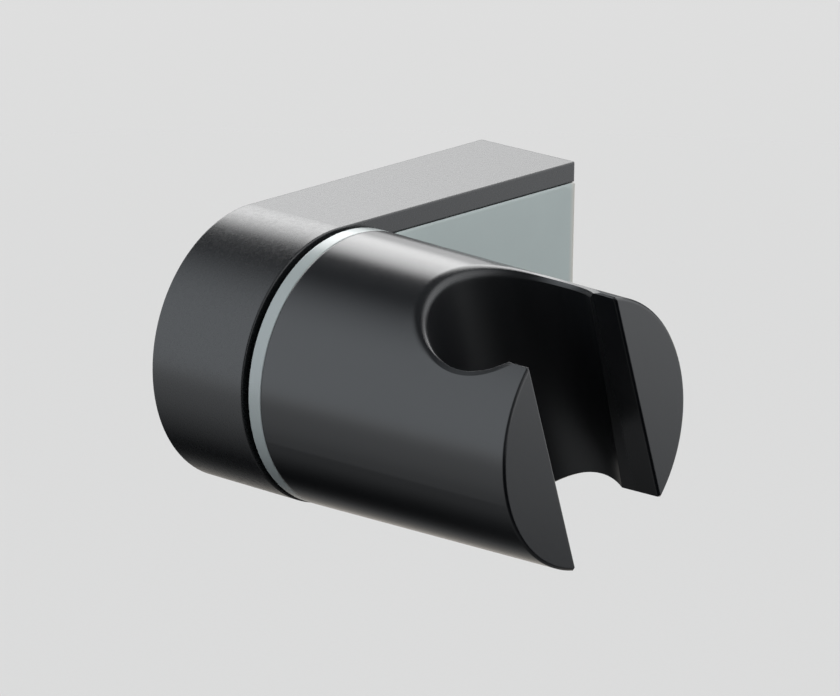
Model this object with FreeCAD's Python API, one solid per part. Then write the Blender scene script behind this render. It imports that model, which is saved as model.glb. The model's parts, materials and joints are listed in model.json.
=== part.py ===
# Hand shower holder for a bathroom wall: a D-shaped body that hooks on a screwed wall plate,
# and a swivelling cradle with a tapered bore and an open slot for the handle and its hose.
#
# Millimetres. The wall is the plane Y = 0 and the room lies towards -Y, Z is up. The origin is on the
# wall, at the middle of the body's width and at the height of the swivel axis, which runs along X.
# The cradle is modelled upright about the swivel axis and then tilted to its rest position.

import FreeCAD, Part
import math
import os

Vec = FreeCAD.Vector
X_DIR = Vec(1, 0, 0)
Y_DIR = Vec(0, 1, 0)
Z_DIR = Vec(0, 0, 1)

# Body cover: the outside
body_height = 40.4
body_width = 17.7            # at the swivel axis
pivot_reach = 51.0           # wall to swivel axis
side_draft = 0.7             # degrees that the closed side leans out towards the wall
cover_edge_break = 0.15

# Body cover: the inside
cover_wall = 2.4
rim_width = 3.0              # edge of the cover that frames the side panel
ledge_width = 1.4            # how far the panel's seat stands in from that edge
ledge_thickness = 1.6
drain_radius = 1.2           # notch that lets water out at the foot of the back edge

# Side panel
panel_thickness = 2.4
panel_proud = 0.3
panel_gap = 0.1              # parting line round the panel
panel_edge_break = 0.25
panel_back_radius = 0.25
hub_wall = 3.0
hub_length = 4.4             # stands in from the panel
hub_rib_thickness = 1.4
hub_rib_count = 6
hub_rib_reach = 5.5          # how far each rib runs out from the hub
hub_rib_height = 2.8
snap_width = 6.0
snap_thickness = 1.3
snap_catch = 0.7             # how far the snap hook grips under the ledge
snap_lead = 1.4              # length of the hook's sloped end
snap_angle = 52.0            # degrees of each snap hook above and below the front

# Screws that fasten the side panel to the cover, their lugs and posts
panel_screw_height = 11.0    # above and below the swivel axis
panel_screw_radius = 1.1
panel_screw_length = 10.4
panel_screw_head_radius = 2.6
panel_screw_head_height = 1.6
cross_length = 2.8
cross_width = 0.6
cross_depth = 0.9
lug_setback = 13.0           # wall to the lugs
lug_thickness = 2.4
lug_half_height = 3.4
gusset_reach = 5.0
gusset_thickness = 1.4
post_radius = 3.1
post_length = 12.0

# Wall plate
plate_thickness = 3.0
plate_depth = 8.4
plate_flange = 1.8
plate_gap = 0.3              # to the sides of the cover
hook_lift = 1.4              # how far the cover is raised to pass over the lip
lip_height = 1.1
lip_thickness = 2.2
hook_thickness = 2.4
hook_gap = 0.2
wall_screw_spacing = 19.0
wall_screw_radius = 2.25
wall_screw_head_room = 4.2   # radius kept free of the rib for the heads of the wall screws
plate_rib_thickness = 1.6

# Set screw from beneath and its insert
set_screw_radius = 2.0
set_screw_socket = 2.0       # across flats
set_screw_socket_depth = 2.2
set_screw_point_radius = 1.2
set_screw_recess = 0.5       # end of the screw above the bottom of the cover
set_insert_radius = 2.8
set_insert_length = 2.6
set_boss_wall = 1.6
set_boss_height = 1.4

# Swivel: collar, neck and friction disc
collar_gap = 0.9             # dark joint between the cover and the collar
collar_thickness = 2.6
collar_edge_break = 0.3      # towards the cover
collar_joint_break = 0.15    # towards the barrel, where it leaves a fine groove
collar_inset = 0.2           # how far the collar stands in from the top of the cover
neck_radius = 6.0
neck_clearance = 0.08        # running fit in the hub, at the radius
neck_flats = 9.4             # across the two flats
neck_flats_run = 1.0         # how far the flats run into the hub
friction_disc_inset = 4.6    # from the rim of the collar
thrust_gap = 0.05
key_height = 1.8             # pairs of keys on the collar that stand beside the ribs of the cradle
key_wall = 1.4
key_length = 4.0
key_gap = 0.2

# Swivel: washers and bolt
stop_washer_thickness = 1.2
stop_washer_radius = 8.8
stop_tab_width = 4.0
stop_tab_reach = 12.2
stop_gap = 0.3
disc_spring_height = 0.9
disc_spring_thickness = 0.45
disc_spring_radius = 7.6
disc_spring_gap = 0.2        # round the neck
clamp_washer_thickness = 1.5
clamp_washer_radius = 8.6
lock_washer_thickness = 1.2
lock_washer_radius = 4.4
lock_washer_split = 0.7
lock_washer_rise = 20.0      # degrees that the split is cut off square
bolt_radius = 2.5
bolt_length = 25.0
bolt_head_radius = 4.4
bolt_head_height = 2.6
bolt_socket = 3.0            # across flats
bolt_socket_depth = 1.6
bolt_insert_radius = 3.3
bolt_insert_length = 9.0
bolt_insert_inset = 0.8      # insert below the face of its boss

# Fits shared by the pieces, at the radius
hole_clearance = 0.2         # round each screw and bolt in a plain hole
thread_clearance = 0.05      # round each screw in its thread
fit_gap = 0.04               # between pieces pressed or set together

# Cradle
barrel_length = 44.25
barrel_narrowing = 0.8       # at the radius, over its length
barrel_wall = 3.0
barrel_edge_break = 0.3
bore_setback = 11.35         # bore axis to the end of the barrel
bore_top_radius = 11.6
bore_bottom_radius = 10.25
mouth_slope_width = 1.4      # gentle slope round the mouth of the bore
mouth_slope_depth = 0.45
mouth_bevel_width = 0.4      # steeper bevel between that slope and the bore
mouth_bevel_depth = 0.7
foot_chamfer = 0.6           # round the bore and the slot at the underside
slot_width = 18.6
bore_back_wall = 3.6         # between the hollow root and the bore
boss_radius = 5.4
boss_step = 0.5              # boss end below the root face
boss_rib_thickness = 1.6
boss_rib_count = 6

# Swivel travel: tilt of the bore's top away from the wall, in degrees
tilt_at_rest = 19.0
tilt_lowest = -15.0
tilt_highest = 75.0

# Overshoot of cutting shapes past the faces that they open, and a length greater than the holder
past = 1.0
far = 120.0

# Places along the swivel axis, worked out from the sizes
x_face = body_width / 2
x_panel_out = x_face + panel_proud
x_panel_in = x_panel_out - panel_thickness
x_ledge_in = x_panel_in - ledge_thickness
x_hub_end = x_panel_in - hub_length
x_stop_washer = x_hub_end - thrust_gap
x_disc_spring = x_stop_washer - stop_washer_thickness
x_clamp_washer = x_disc_spring - disc_spring_height
x_lock_washer = x_clamp_washer - clamp_washer_thickness
x_bolt_head = x_lock_washer - lock_washer_thickness
x_bolt_tip = x_bolt_head + bolt_length
x_collar = x_face + collar_gap
x_barrel = x_collar + collar_thickness
x_end = x_barrel + barrel_length
x_bore = x_end - bore_setback
x_root_floor = x_bore - bore_top_radius - bore_back_wall
x_boss = x_barrel + boss_step
x_bolt_insert = x_boss + bolt_insert_inset

# Heights and radii, worked out from the sizes
half_height = body_height / 2
collar_radius = half_height - collar_inset
friction_disc_radius = collar_radius - friction_disc_inset
cavity_half = half_height - cover_wall
set_boss_top = -cavity_half + set_boss_height
plate_top = cavity_half - hook_lift
plate_bottom = set_boss_top + hook_lift
plate_middle = (plate_top + plate_bottom) / 2
wall_screw_heights = (plate_middle + wall_screw_spacing / 2, plate_middle - wall_screw_spacing / 2)
root_radius = collar_radius - barrel_wall
hub_radius = neck_radius + neck_clearance + hub_wall
rooting = cover_wall / 2     # how deep posts, webs and bosses are rooted in the wall that they stand on


def closed_side_x(y):
    """Outer face of the closed side at a distance y from the wall."""
    return -body_width / 2 - math.tan(math.radians(side_draft)) * (y + pivot_reach)


def cavity_side_x(y):
    """Inner face of the closed side at a distance y from the wall."""
    return closed_side_x(y) + cover_wall


# Places beside and in front of the wall plate, worked out from the sizes
x_plate_left = cavity_side_x(-plate_depth) + plate_gap
x_plate_right = x_ledge_in - plate_gap
x_plate = (x_plate_left + x_plate_right) / 2
x_post = cavity_side_x(-lug_setback) + lug_half_height + plate_gap
y_post = -lug_setback - lug_thickness
y_lip = -(plate_depth - lip_thickness)
y_set_screw = -(plate_thickness + plate_depth) / 2


def prism(points, sweep):
    """Flat polygon swept along a vector."""
    return Part.Face(Part.makePolygon(points + points[:1])).extrude(sweep)


def rod(radius, length, start, direction):
    """Solid cylinder."""
    return Part.makeCylinder(radius, length, start, direction)


def tube(outer, inner, length, start, direction):
    """Plain washer or sleeve."""
    return rod(outer, length, start, direction).cut(rod(inner, length, start, direction))


def on_axis(x):
    """Point of the swivel axis, seen from the cradle's own frame."""
    return Vec(x, 0, 0)


def turned(profile):
    """Solid of revolution about the swivel axis from a list of (x, radius) points."""
    section = Part.Face(Part.makePolygon([Vec(x, r, 0) for x, r in profile + profile[:1]]))
    return section.revolve(Vec(0, 0, 0), X_DIR, 360)


def around_axis(shape, degrees):
    """Turn a shape about the swivel axis, seen from the cradle's own frame."""
    shape.rotate(Vec(0, 0, 0), X_DIR, degrees)
    return shape


def at_pivot(shape):
    """Move a shape from the cradle's own frame to its place in the holder."""
    shape.translate(Vec(0, -pivot_reach, 0))
    return shape


def at_rest(shape):
    """Turn a shape of the cradle to its rest tilt and move it to its place in the holder."""
    return at_pivot(around_axis(shape, tilt_at_rest))


def centred_box(x_from, x_to, width, z_from, z_to):
    """Box whose width lies evenly to both sides of the plane Y = 0."""
    return Part.makeBox(x_to - x_from, width, z_to - z_from, Vec(x_from, -width / 2, z_from))


def hexagon_bar(across_flats, length, start, direction, side):
    """Hexagonal bar, as the socket for a key. The side vector points at one of its corners."""
    corner = across_flats / math.sqrt(3)
    up = direction.cross(side)
    points = []
    for i in range(6):
        angle = math.radians(60 * i)
        points.append(start + side * (corner * math.cos(angle)) + up * (corner * math.sin(angle)))
    return prism(points, direction * length)


def d_plate(inset, x_from, x_to, y_back):
    """Body of D outline between two places along X, its outline drawn in by an inset."""
    half = half_height - inset
    top_back = Vec(x_from, y_back, half)
    top_front = Vec(x_from, -pivot_reach, half)
    nose = Vec(x_from, -pivot_reach - half, 0)
    bottom_front = Vec(x_from, -pivot_reach, -half)
    bottom_back = Vec(x_from, y_back, -half)
    outline = Part.Wire([
        Part.LineSegment(top_back, top_front).toShape(),
        Part.Arc(top_front, nose, bottom_front).toShape(),
        Part.LineSegment(bottom_front, bottom_back).toShape(),
        Part.LineSegment(bottom_back, top_back).toShape(),
    ])
    return Part.Face(outline).extrude(Vec(x_to - x_from, 0, 0))


def right_of_side(side_x):
    """All that lies to the right of the leaning closed side, or of its inner face."""
    points = [Vec(side_x(past), past, -far), Vec(far, past, -far), Vec(far, -far, -far),
              Vec(side_x(-far), -far, -far)]
    return prism(points, Z_DIR * (2 * far))


def edges_where(shape, test):
    """Edges whose bounding box passes a test."""
    return [edge for edge in shape.Edges if test(edge.BoundBox)]


def body_cover():
    """D-shaped shell with the seat for the side panel, the hook for the wall plate, and its posts."""
    shell = d_plate(0, -far, x_face, 0).common(right_of_side(closed_side_x))
    outer = edges_where(shell, lambda b: b.YMin < -pivot_reach / 2)
    shell = shell.makeChamfer(cover_edge_break, outer)
    cavity = d_plate(cover_wall, -far, x_ledge_in, past).common(right_of_side(cavity_side_x))
    opening = d_plate(rim_width + ledge_width, x_ledge_in - past, x_face, past)
    seat = d_plate(rim_width, x_panel_in, x_face + past, past)
    shell = shell.cut(Part.makeCompound([cavity, opening, seat]))

    y_hook = y_lip + hook_gap
    x_hook = cavity_side_x(y_hook) - rooting
    hook = Part.makeBox(x_ledge_in - x_hook, hook_thickness, cavity_half + rooting - plate_top,
                        Vec(x_hook, y_hook, plate_top))
    boss_base = Vec(x_plate, y_set_screw, -cavity_half - rooting)
    boss = rod(set_insert_radius + set_boss_wall, set_boss_top - boss_base.z, boss_base, Z_DIR)
    for piece in (hook, boss, panel_post(1), panel_post(-1)):
        shell = shell.fuse(piece)

    z_under = -half_height - past
    hole_base = Vec(x_plate, y_set_screw, z_under)
    seat_base = Vec(x_plate, y_set_screw, set_boss_top - set_insert_length)
    holes = [
        rod(set_screw_radius + hole_clearance, set_boss_top + past - z_under, hole_base, Z_DIR),
        rod(set_insert_radius, set_insert_length + past, seat_base, Z_DIR),
        rod(drain_radius, -cavity_half + past - z_under, Vec(x_plate, 0, z_under), Z_DIR),
    ]
    for side in (1, -1):
        post_end = Vec(x_post, y_post, side * panel_screw_height)
        holes.append(rod(panel_screw_radius + fit_gap, panel_screw_length, post_end, -Y_DIR))
    return shell.cut(Part.makeCompound(holes)).removeSplitter()


def panel_post(side):
    """Post on the closed side of the cover for a panel screw, with the web that ties it to the wall."""
    height = side * panel_screw_height
    post = rod(post_radius, post_length, Vec(x_post, y_post, height), -Y_DIR)
    x_web = cavity_side_x(y_post) - rooting
    web = Part.makeBox(x_post - x_web, post_length, 2 * post_radius,
                       Vec(x_web, y_post - post_length, height - post_radius))
    return post.fuse(web)


def side_panel():
    """Panel that closes the right side, with the bearing hub, its ribs and stops, the lugs and the hooks."""
    panel = d_plate(rim_width + panel_gap, x_panel_in, x_panel_out, 0)
    back = edges_where(panel, lambda b: b.XMin > x_face and b.YMin > -panel_back_radius)
    panel = panel.makeFillet(panel_back_radius, back)
    sides_and_front = edges_where(panel, lambda b: b.XMin > x_face and b.YMin < -pivot_reach / 2)
    panel = panel.makeChamfer(panel_edge_break, sides_and_front)
    hub = at_pivot(rod(hub_radius, hub_length, on_axis(x_hub_end), X_DIR))
    for piece in [hub] + hub_ribs() + stop_blocks() + snap_hooks() + [panel_lug(1), panel_lug(-1)]:
        panel = panel.fuse(piece)
    bore_length = x_panel_out - x_hub_end + 2 * past
    bore = rod(neck_radius + neck_clearance, bore_length, on_axis(x_hub_end - past), X_DIR)
    return panel.cut(at_pivot(bore)).removeSplitter()


def hub_ribs():
    """Ribs from the hub out over the inner face of the panel."""
    x_top = x_panel_in - hub_rib_height
    points = [Vec(x_panel_in, 0, 0), Vec(x_top, 0, 0), Vec(x_top, 0, hub_radius),
              Vec(x_panel_in, 0, hub_radius + hub_rib_reach)]
    ribs = []
    for i in range(hub_rib_count):
        rib = prism(points, Y_DIR * hub_rib_thickness)
        rib.translate(Vec(0, -hub_rib_thickness / 2, 0))
        ribs.append(at_pivot(around_axis(rib, 360 / hub_rib_count * (i + 0.5))))
    return ribs


def stop_blocks():
    """The two end stops beside the hub, which the tab of the stop washer meets."""
    height = x_panel_in - x_disc_spring
    ring = tube(stop_tab_reach, hub_radius - rooting, height, on_axis(x_disc_spring), X_DIR)
    clear = rod(stop_washer_radius + stop_gap, x_hub_end - x_disc_spring, on_axis(x_disc_spring), X_DIR)
    near = stop_tab_width / 2 + stop_gap
    blocks = []
    for tilt, y_low in ((tilt_lowest, near), (tilt_highest, -near - stop_tab_width)):
        block = Part.makeBox(height, stop_tab_width, stop_tab_reach, Vec(x_disc_spring, y_low, 0))
        block = block.common(ring).cut(clear)
        blocks.append(at_pivot(around_axis(block, 180 + tilt)))
    return blocks


def snap_hooks():
    """Two hooks at the round front of the panel that grip behind the ledge of the cover."""
    reach = half_height - rim_width - ledge_width - panel_gap
    x_catch = x_ledge_in - fit_gap
    x_tip = x_catch - snap_lead
    outside = rod(reach, x_panel_in - x_catch, on_axis(x_catch), X_DIR)
    outside = outside.fuse(rod(reach + snap_catch, snap_lead, on_axis(x_tip), X_DIR))
    points = [Vec(x_panel_in, 0, reach - snap_thickness), Vec(x_panel_in, 0, reach), Vec(x_catch, 0, reach),
              Vec(x_catch, 0, reach + snap_catch), Vec(x_tip, 0, reach - snap_catch),
              Vec(x_tip, 0, reach - snap_thickness)]
    hooks = []
    for angle in (90 - snap_angle, 90 + snap_angle):
        hook = prism(points, Y_DIR * snap_width)
        hook.translate(Vec(0, -snap_width / 2, 0))
        hooks.append(at_pivot(around_axis(hook.common(outside), angle)))
    return hooks


def panel_lug(side):
    """Lug that reaches in from the panel over the end of a post, with its gusset and screw hole."""
    height = side * panel_screw_height
    x_lug = x_post - lug_half_height
    lug = Part.makeBox(x_panel_in - x_lug, lug_thickness, 2 * lug_half_height,
                       Vec(x_lug, y_post, height - lug_half_height))
    points = [Vec(x_panel_in, y_post, height), Vec(x_panel_in - gusset_reach, y_post, height),
              Vec(x_panel_in, y_post - gusset_reach, height)]
    gusset = prism(points, Z_DIR * gusset_thickness)
    gusset.translate(Vec(0, 0, -gusset_thickness / 2))
    hole_base = Vec(x_post, y_post - past, height)
    hole = rod(panel_screw_radius + hole_clearance, lug_thickness + 2 * past, hole_base, Y_DIR)
    return lug.fuse(gusset).cut(hole)


def panel_screw(side):
    """Small screw with a cross recess, driven from the back."""
    seat = Vec(x_post, -lug_setback, side * panel_screw_height)
    y_top = seat.y + panel_screw_head_height
    head = rod(panel_screw_head_radius, panel_screw_head_height, seat, Y_DIR)
    screw = head.fuse(rod(panel_screw_radius, panel_screw_length, seat, -Y_DIR))
    for length, width in ((cross_length, cross_width), (cross_width, cross_length)):
        screw = screw.cut(Part.makeBox(length, cross_depth, width,
                                       Vec(seat.x - length / 2, y_top - cross_depth, seat.z - width / 2)))
    return screw.removeSplitter()


def wall_plate():
    """Moulded plate for the wall: base, two flanges, the lip for the hook, a rib and two screw holes."""
    width = x_plate_right - x_plate_left
    height = plate_top - plate_bottom
    outline = [
        (0, plate_bottom), (-plate_depth, plate_bottom), (-plate_depth, plate_bottom + plate_flange),
        (-plate_thickness, plate_bottom + plate_flange), (-plate_thickness, plate_top - plate_flange),
        (-plate_depth, plate_top - plate_flange), (-plate_depth, plate_top + lip_height),
        (y_lip, plate_top + lip_height), (y_lip, plate_top), (0, plate_top),
    ]
    plate = prism([Vec(x_plate_left, y, z) for y, z in outline], X_DIR * width)
    rib = Part.makeBox(plate_rib_thickness, plate_depth, height,
                       Vec(x_plate - plate_rib_thickness / 2, -plate_depth, plate_bottom))
    for z in wall_screw_heights:
        rib = rib.cut(rod(wall_screw_head_room, plate_depth, Vec(x_plate, -plate_thickness, z), -Y_DIR))
    plate = plate.fuse(rib)
    holes = [rod(wall_screw_radius, plate_depth, Vec(x_plate, past, z), -Y_DIR) for z in wall_screw_heights]
    return plate.cut(Part.makeCompound(holes)).removeSplitter()


def set_screw():
    """Socket set screw whose flat point presses on the lower flange of the wall plate."""
    base = Vec(x_plate, y_set_screw, -half_height + set_screw_recess)
    bevel = set_screw_radius - set_screw_point_radius
    core = set_screw_radius - thread_clearance
    neck = Vec(base.x, base.y, plate_bottom - bevel)
    shank = rod(core, neck.z - base.z, base, Z_DIR)
    point = Part.makeCone(core, set_screw_point_radius, bevel, neck, Z_DIR)
    socket = hexagon_bar(set_screw_socket, set_screw_socket_depth, base, Z_DIR, X_DIR)
    return shank.fuse(point).cut(socket).removeSplitter()


def set_screw_insert():
    """Brass insert in the bottom of the cover for the set screw."""
    start = Vec(x_plate, y_set_screw, set_boss_top - set_insert_length)
    return tube(set_insert_radius - fit_gap, set_screw_radius, set_insert_length, start, Z_DIR)


def pivot_collar():
    """Flange at the root of the cradle: its rim shows as a ring, and its neck turns in the hub."""
    x_keys = x_barrel + key_height
    bolt_hole = bolt_radius + hole_clearance
    profile = [
        (x_clamp_washer, bolt_hole), (x_clamp_washer, neck_radius), (x_collar, neck_radius),
        (x_collar, collar_radius - collar_edge_break), (x_collar + collar_edge_break, collar_radius),
        (x_barrel - collar_joint_break, collar_radius), (x_barrel, collar_radius - collar_joint_break),
        (x_barrel, bolt_hole),
    ]
    collar = turned(profile)
    r_keys = root_radius - key_gap - key_wall
    slot = boss_rib_thickness + 2 * key_gap
    for keys in boss_ribs(x_barrel, x_keys, slot + 2 * key_wall, r_keys - key_length, r_keys):
        collar = collar.fuse(keys)
    for rib in boss_ribs(x_barrel, x_keys, slot, 0, root_radius):
        collar = collar.cut(rib)
    x_flats = x_hub_end + neck_flats_run
    kept = centred_box(x_clamp_washer - past, x_flats, neck_flats, -far, far)
    milled = centred_box(x_clamp_washer - past, x_flats, far, -far, far).cut(kept)
    return at_rest(collar.cut(milled).removeSplitter())


def friction_disc():
    """Flat disc round the neck, between the panel that it runs on and the collar."""
    x_run = x_panel_out + thrust_gap
    disc = tube(friction_disc_radius, neck_radius + fit_gap, x_collar - x_run, on_axis(x_run), X_DIR)
    return at_rest(disc)


def stop_washer():
    """Washer that turns with the neck by two flats, with the tab that limits the swivel."""
    washer = rod(stop_washer_radius, stop_washer_thickness, on_axis(x_disc_spring), X_DIR)
    reach = rod(stop_tab_reach, stop_washer_thickness, on_axis(x_disc_spring), X_DIR)
    tab = centred_box(x_disc_spring, x_stop_washer, stop_tab_width, -stop_tab_reach, 0).common(reach)
    hole = rod(neck_radius + fit_gap, stop_washer_thickness, on_axis(x_disc_spring), X_DIR)
    hole = hole.common(centred_box(x_disc_spring, x_stop_washer, neck_flats + 2 * fit_gap, -far, far))
    return at_rest(washer.fuse(tab).cut(hole).removeSplitter())


def disc_spring():
    """Conical spring washer round the neck."""
    inner = neck_radius + disc_spring_gap
    profile = [
        (x_clamp_washer, disc_spring_radius), (x_clamp_washer + disc_spring_thickness, disc_spring_radius),
        (x_disc_spring, inner), (x_disc_spring - disc_spring_thickness, inner),
    ]
    return at_rest(turned(profile))


def clamp_washer():
    """Plain thick washer that the bolt draws on to the end of the neck."""
    washer = tube(clamp_washer_radius, bolt_radius + hole_clearance, clamp_washer_thickness,
                  on_axis(x_lock_washer), X_DIR)
    return at_rest(washer)


def lock_washer():
    """Split washer under the bolt head."""
    washer = tube(lock_washer_radius, bolt_radius + hole_clearance, lock_washer_thickness,
                  on_axis(x_bolt_head), X_DIR)
    split = centred_box(-lock_washer_radius, lock_washer_radius, lock_washer_split, 0, lock_washer_radius)
    split.rotate(Vec(0, 0, 0), Z_DIR, lock_washer_rise)
    split.translate(on_axis(x_bolt_head + lock_washer_thickness / 2))
    return at_rest(washer.cut(split))


def pivot_bolt():
    """Low-head bolt with a hexagon socket."""
    x_top = x_bolt_head - bolt_head_height
    head = rod(bolt_head_radius, bolt_head_height, on_axis(x_top), X_DIR)
    shank = rod(bolt_radius - thread_clearance, bolt_length, on_axis(x_bolt_head), X_DIR)
    socket = hexagon_bar(bolt_socket, bolt_socket_depth, on_axis(x_top), X_DIR, Z_DIR)
    return at_rest(head.fuse(shank).cut(socket).removeSplitter())


def bolt_insert():
    """Brass insert in the boss of the cradle."""
    insert = tube(bolt_insert_radius - fit_gap, bolt_radius, bolt_insert_length,
                  on_axis(x_bolt_insert), X_DIR)
    return at_rest(insert)


def boss_ribs(x_from, x_to, thickness, inner, outer):
    """Ribs between two distances from the swivel axis, spaced evenly round it."""
    return [around_axis(centred_box(x_from, x_to, thickness, inner, outer), 360 / boss_rib_count * (i + 0.5))
            for i in range(boss_rib_count)]


def barrel_cone(radius, x_to):
    """Cone that narrows like the barrel, from a radius at the collar to a place along X."""
    narrowing = barrel_narrowing / barrel_length * (x_to - x_barrel)
    return Part.makeCone(radius, radius - narrowing, x_to - x_barrel, on_axis(x_barrel), X_DIR)


def slotted_barrel():
    """Barrel with the tapered bore and the open slot, all its edges broken for the hand."""
    x_over = x_end + bore_top_radius
    half_bore = bore_bottom_radius / 2
    barrel = around_axis(barrel_cone(collar_radius, x_over), 90)
    barrel = barrel.cut(Part.makeCone(bore_bottom_radius, bore_top_radius, 2 * collar_radius,
                                      Vec(x_bore, 0, -collar_radius), Z_DIR))
    mouth = edges_where(barrel, lambda b: b.XMin > x_root_floor and b.XMax < x_over and b.ZMin > half_bore)
    barrel = barrel.makeChamfer(mouth_slope_width, mouth_slope_depth, mouth)
    x_near = x_bore - bore_top_radius
    lip = edges_where(barrel, lambda b: x_near < b.XMin < x_bore and b.XMax < x_over and b.ZMin > half_bore)
    barrel = barrel.makeChamfer(mouth_bevel_width, mouth_bevel_depth, lip)
    barrel = barrel.cut(centred_box(x_bore, x_over, slot_width, -far, far))
    barrel = barrel.cut(centred_box(x_end, x_over, far, -far, far))
    x_near = x_end - foot_chamfer
    foot = edges_where(barrel, lambda b: x_root_floor < b.XMin < x_near and b.ZMax < -half_bore)
    barrel = barrel.makeChamfer(foot_chamfer, foot)
    x_near = x_end - fit_gap
    rims = edges_where(barrel, lambda b: b.XMin > x_near or (b.XMax > x_near and b.ZMin > half_bore))
    return barrel.makeChamfer(barrel_edge_break, rims)


def cradle():
    """Piece that takes the hand shower: slotted barrel with a hollow root, its ribs and the bolt boss."""
    root = rod(root_radius, x_root_floor - x_barrel, on_axis(x_barrel), X_DIR)
    body = slotted_barrel().cut(root)
    boss = rod(boss_radius, x_root_floor + past - x_boss, on_axis(x_boss), X_DIR)
    rib_reach = collar_radius - barrel_wall / 2
    ribs = boss_ribs(x_barrel + key_gap, x_root_floor + past, boss_rib_thickness, 0, rib_reach)
    for piece in ribs + [boss]:
        body = body.fuse(piece)
    seat = rod(bolt_insert_radius, x_bolt_insert + bolt_insert_length - x_barrel, on_axis(x_barrel), X_DIR)
    pilot = rod(bolt_radius + hole_clearance, x_bolt_tip + past - x_barrel, on_axis(x_barrel), X_DIR)
    return at_rest(body.cut(seat.fuse(pilot)).removeSplitter())


NODES = {
    "wall_plate": wall_plate,
    "body_cover": body_cover,
    "side_panel": side_panel,
    "panel_screw_upper": lambda: panel_screw(1),
    "panel_screw_lower": lambda: panel_screw(-1),
    "set_screw": set_screw,
    "set_screw_insert": set_screw_insert,
    "pivot_collar": pivot_collar,
    "friction_disc": friction_disc,
    "stop_washer": stop_washer,
    "disc_spring": disc_spring,
    "clamp_washer": clamp_washer,
    "lock_washer": lock_washer,
    "pivot_bolt": pivot_bolt,
    "bolt_insert": bolt_insert,
    "cradle": cradle,
}

os.makedirs("parts", exist_ok=True)
for name, make in NODES.items():
    make().exportStep("parts/" + name + ".step")
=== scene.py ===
# Looks for the hand shower holder: finishes for the moulded pieces, finer small hardware, and the studio.
# Metres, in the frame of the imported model: the wall is Y = 0, the room lies towards -Y, and Z is up.
import json
import math

import bpy
from mathutils import Matrix, Vector


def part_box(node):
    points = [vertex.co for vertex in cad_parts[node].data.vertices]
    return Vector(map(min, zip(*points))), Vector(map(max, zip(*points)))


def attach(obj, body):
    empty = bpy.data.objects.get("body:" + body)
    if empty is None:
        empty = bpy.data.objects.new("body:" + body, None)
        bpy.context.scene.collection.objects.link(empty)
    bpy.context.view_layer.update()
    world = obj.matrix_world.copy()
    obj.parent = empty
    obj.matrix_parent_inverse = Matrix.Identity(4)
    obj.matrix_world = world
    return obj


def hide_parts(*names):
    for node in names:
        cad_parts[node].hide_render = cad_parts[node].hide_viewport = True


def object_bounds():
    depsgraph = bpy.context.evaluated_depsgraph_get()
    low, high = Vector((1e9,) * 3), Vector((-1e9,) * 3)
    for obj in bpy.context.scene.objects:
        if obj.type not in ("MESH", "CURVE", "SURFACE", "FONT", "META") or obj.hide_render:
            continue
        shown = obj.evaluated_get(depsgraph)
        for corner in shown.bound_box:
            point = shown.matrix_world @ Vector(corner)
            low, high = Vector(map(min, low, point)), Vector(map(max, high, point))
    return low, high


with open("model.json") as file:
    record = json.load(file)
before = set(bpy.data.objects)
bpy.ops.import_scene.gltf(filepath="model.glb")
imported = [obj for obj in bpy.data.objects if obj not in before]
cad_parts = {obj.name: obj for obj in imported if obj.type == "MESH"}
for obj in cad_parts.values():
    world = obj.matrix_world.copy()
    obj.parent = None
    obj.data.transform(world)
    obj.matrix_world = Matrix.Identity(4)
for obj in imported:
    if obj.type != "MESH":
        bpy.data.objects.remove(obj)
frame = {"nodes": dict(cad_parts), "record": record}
CAD_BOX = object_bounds()
NODES = frame["nodes"]

bl_info = {
    "name": "Hand Shower Holder",
    "version": (1, 0, 0),
    "blender": (4, 5, 0),
    "location": "View3D > Sidebar > Holder",
    "description": "Finishes, small hardware and studio for a wall holder of a hand shower",
    "category": "Object",
}

MM = 0.001
X, Y, Z = 0, 1, 2

# The bore of the cradle, from the mount that the hand shower sits in
BORE = next(mount for mount in frame["record"]["mounts"] if mount["name"] == "handle_seat")
BORE_PLACE = BORE["pos_m"]
BORE_LEAN = math.atan2(-BORE["axis"][Y], BORE["axis"][Z])

# Second shades of the mouldings, towards which their colour drifts in soft patches
BLACK_CLOUD = "#121315"
PANEL_CLOUD = "#98a2a0"
COLLAR_CLOUD = "#a4aba9"
PLATE_GREY, PLATE_CLOUD = "#3a3b3d", "#343537"
RUBBER_BLACK, RUBBER_DUST = "#161617", "#222223"
# Painted light on the panel: a warm reflection at its back edge, and shade in the crevice along the cover
PANEL_EDGE_REFLECTION = "#a9a8a1"
CREVICE_SHADE = "#101212"

# Nearly all values of the noise lie between these
NOISE_RANGE = (0.3, 0.7)

ABS_IOR = 1.53

# Tool marks on turned metal run this many times as far round the axis as along it
RING_STRETCH = 7.0


# Colours and node building

def to_linear(hex_colour):
    """sRGB hex colour as linear RGBA."""
    values = [int(hex_colour[i:i + 2], 16) / 255 for i in (1, 3, 5)]
    return [v / 12.92 if v <= 0.04045 else ((v + 0.055) / 1.055) ** 2.4 for v in values] + [1.0]


def add_node(tree, kind, inputs=None, **settings):
    """Add a node with its settings, and fill its inputs with values, with sockets, or with nodes.

    A node given as an input stands for its first output in use.
    """
    node = tree.nodes.new(kind)
    for name, value in settings.items():
        setattr(node, name, value)
    for name, value in (inputs or {}).items():
        if isinstance(value, bpy.types.Node):
            value = next(output for output in value.outputs if output.enabled)
        if isinstance(value, bpy.types.NodeSocket):
            tree.links.new(value, node.inputs[name])
        else:
            node.inputs[name].default_value = value
    return node


def new_material(name):
    """Empty material with its tree and its object coordinates."""
    material = bpy.data.materials.new(name)
    material.use_nodes = True
    tree = material.node_tree
    tree.nodes.clear()
    return material, tree, add_node(tree, "ShaderNodeTexCoord").outputs["Object"]


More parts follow.
